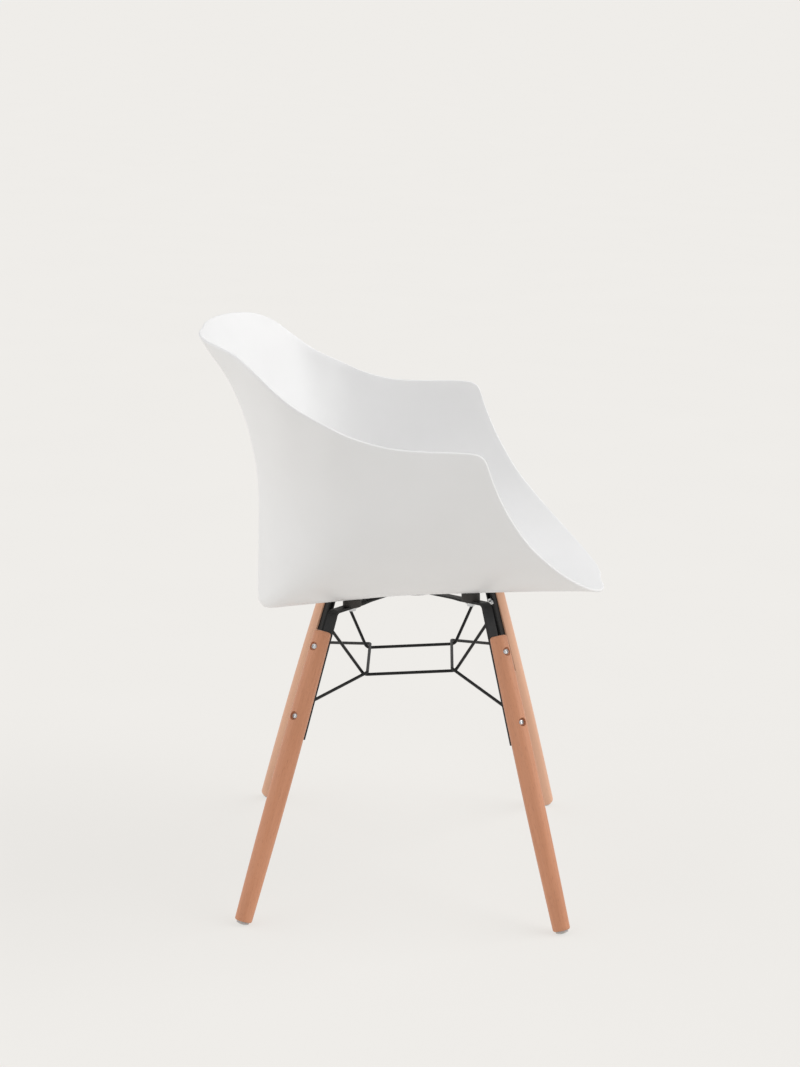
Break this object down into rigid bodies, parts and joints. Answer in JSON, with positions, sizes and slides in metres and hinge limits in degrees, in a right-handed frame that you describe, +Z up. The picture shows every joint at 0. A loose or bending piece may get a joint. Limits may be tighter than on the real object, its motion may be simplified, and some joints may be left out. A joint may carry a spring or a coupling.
{
  "type": "dining armchair",
  "caption": "Dining armchair with a thin white tub shell on leaning round beech legs, joined by a black steel cross frame and a basket of bent wires.",
  "frame": {"origin": "on the floor, under the middle of the chair's outline", "axes": "+Z up, -Y the way the sitter faces, +X the sitter's left-hand side"},
  "size_m": [0.5892, 0.6018, 0.8184],
  "materials": {
    "shell_plastic": "satin",
    "brass": "satin",
    "rubber": "matte",
    "zinc_steel": "satin",
    "black_steel": "satin",
    "beech": "satin",
    "glide_plastic": "satin"
  },
  "bodies": {
    "root": {"seat_shell": "shell_plastic", "threaded_inserts": "brass", "front_right_boot": "rubber", "front_left_boot": "rubber", "rear_right_boot": "rubber", "rear_left_boot": "rubber", "shell_screws": "zinc_steel", "shell_washers": "zinc_steel", "front_right_bracket": "black_steel", "front_left_bracket": "black_steel", "rear_right_bracket": "black_steel", "rear_left_bracket": "black_steel", "centre_plate": "black_steel", "centre_rivets": "black_steel", "front_cross_wire": "black_steel", "rear_cross_wire": "black_steel", "right_side_wire": "black_steel", "left_side_wire": "black_steel", "front_right_leg": "beech", "front_left_leg": "beech", "rear_right_leg": "beech", "rear_left_leg": "beech", "front_right_leg_bolts": "zinc_steel", "front_left_leg_bolts": "zinc_steel", "rear_right_leg_bolts": "zinc_steel", "rear_left_leg_bolts": "zinc_steel", "front_right_leg_nuts": "zinc_steel", "front_left_leg_nuts": "zinc_steel", "rear_right_leg_nuts": "zinc_steel", "rear_left_leg_nuts": "zinc_steel", "front_right_glide": "glide_plastic", "front_left_glide": "glide_plastic", "rear_right_glide": "glide_plastic", "rear_left_glide": "glide_plastic"}
  },
  "joints": []
}
